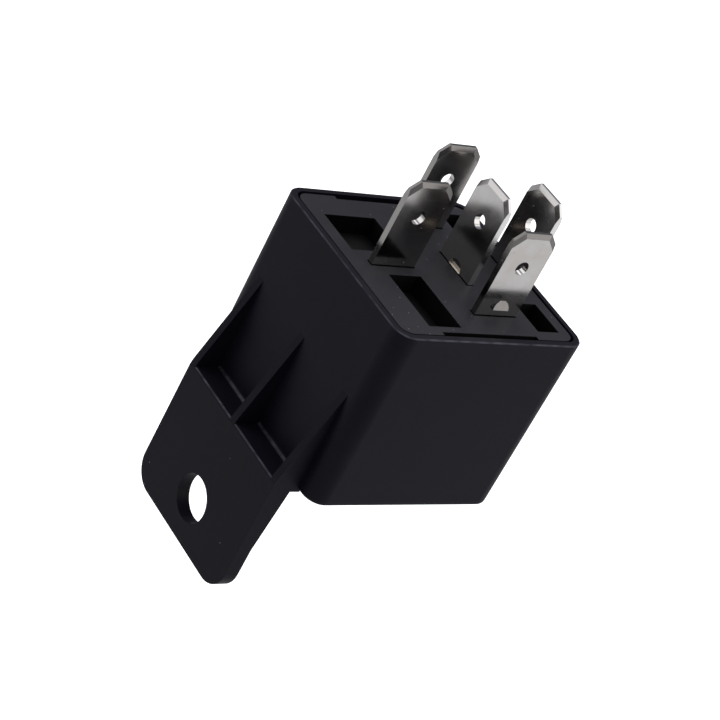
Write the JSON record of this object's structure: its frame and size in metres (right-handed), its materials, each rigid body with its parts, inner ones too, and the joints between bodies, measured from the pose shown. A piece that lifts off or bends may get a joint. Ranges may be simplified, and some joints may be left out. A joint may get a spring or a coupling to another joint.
{
  "type": "automotive relay",
  "caption": "Plug-in automotive changeover relay in a black moulded cover with a ribbed mounting tab and flat blade terminals.",
  "frame": {"origin": "centre of the mounting hole on the tab's outer face", "axes": "+Z from the closed end of the cover towards the blade tips, +X from the panel into the relay, Y across the tab; the relay stands as it does when its tab is screwed to an upright panel"},
  "size_m": [0.0315, 0.028, 0.0525],
  "materials": {
    "cover_plastic": "black moulded, satin",
    "base_plastic": "black moulded, fine satin",
    "tinned_brass": "bright tin plate on brass",
    "plated_steel": "zinc-plated soft iron",
    "bobbin_plastic": "natural moulded nylon",
    "copper_wire": "enamelled copper",
    "coil_tape": "thin polyester tape",
    "spring_alloy": "rolled copper alloy",
    "contact_silver": "silver alloy, satin",
    "copper_braid": "bare copper braid"
  },
  "bodies": {
    "housing": {"cover": "cover_plastic", "base_plate": "base_plastic", "terminal_30": "tinned_brass", "terminal_85": "tinned_brass", "terminal_86": "tinned_brass", "terminal_87": "tinned_brass", "terminal_87a": "tinned_brass", "yoke": "plated_steel", "core": "plated_steel", "bobbin": "bobbin_plastic", "winding": "copper_wire", "winding_tape": "coil_tape", "coil_lead_85": "copper_wire", "coil_lead_86": "copper_wire", "spring_rivets": "plated_steel", "normally_open_contact": "contact_silver", "normally_closed_contact": "contact_silver"},
    "armature": {"armature": "plated_steel", "contact_spring": "spring_alloy", "armature_rivets": "plated_steel", "moving_contact": "contact_silver", "braid": "copper_braid"}
  },
  "joints": [
    {"name": "armature_hinge", "type": "hinge", "parent": "housing", "child": "armature", "pos_m": [0.0062, 0, 0.01805], "axis": [0, -1, 0], "range_deg": [0, 3.85], "stiffness_Nm_per_rad": 0.03, "springref_deg": -5.73, "deforming": ["contact_spring", "braid"]}
  ]
}
